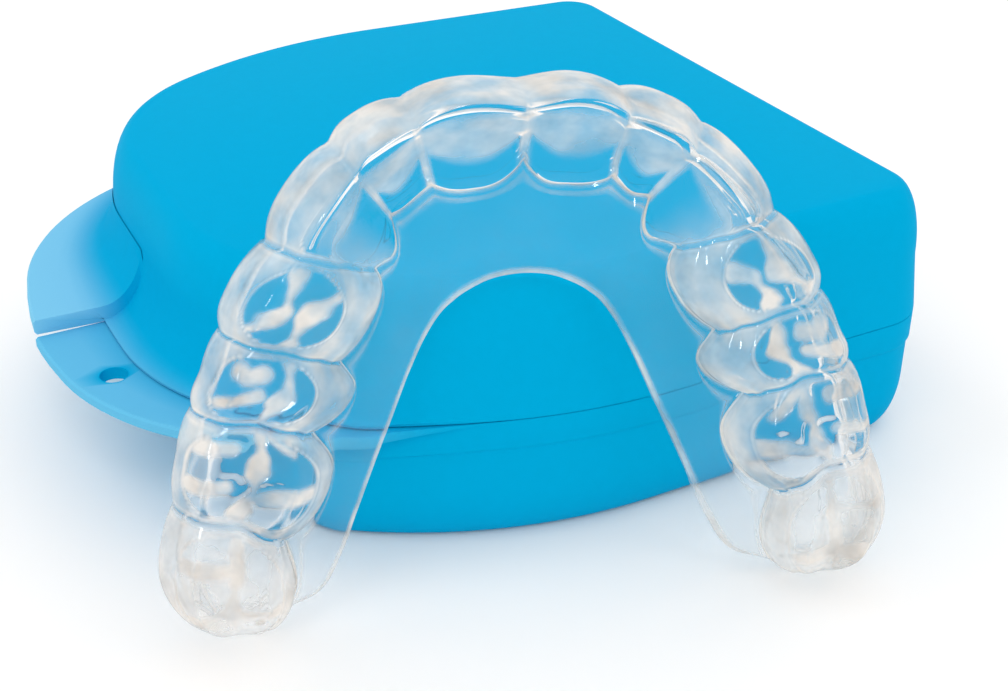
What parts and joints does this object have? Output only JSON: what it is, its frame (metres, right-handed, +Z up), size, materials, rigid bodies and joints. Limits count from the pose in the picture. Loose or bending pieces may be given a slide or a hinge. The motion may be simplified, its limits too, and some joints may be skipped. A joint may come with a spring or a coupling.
{
  "type": "mouthguard with case",
  "caption": "Clear upper-arch mouthguard leaning on its closed snap-lid case, with a hinged lid and a split thumb tab.",
  "frame": {"origin": "centre of the case's flat underside, without its tab and hinge", "axes": "+Z up, -X out through the thumb tab, +X towards the hinge, -Y towards the mouthguard that leans on the case"},
  "size_m": [0.0913, 0.0957, 0.0481],
  "materials": {
    "case_blue": "satin moulded polypropylene",
    "guard_clear": "clear glossy thermoformed sheet"
  },
  "bodies": {
    "base": {"case_base": "case_blue", "hinge_pin": "case_blue"},
    "lid": {"case_lid": "case_blue"},
    "guard": {"mouthguard": "guard_clear"}
  },
  "joints": [
    {"name": "lid_hinge", "type": "hinge", "parent": "base", "child": "lid", "pos_m": [0.0403, 0, 0.0144], "axis": [0, 1, 0], "range_deg": [0, 120]},
    {"name": "guard_lift", "type": "slide", "parent": "lid", "child": "guard", "axis": [0, 0, 1], "range_m": [0, 0.06]}
  ]
}
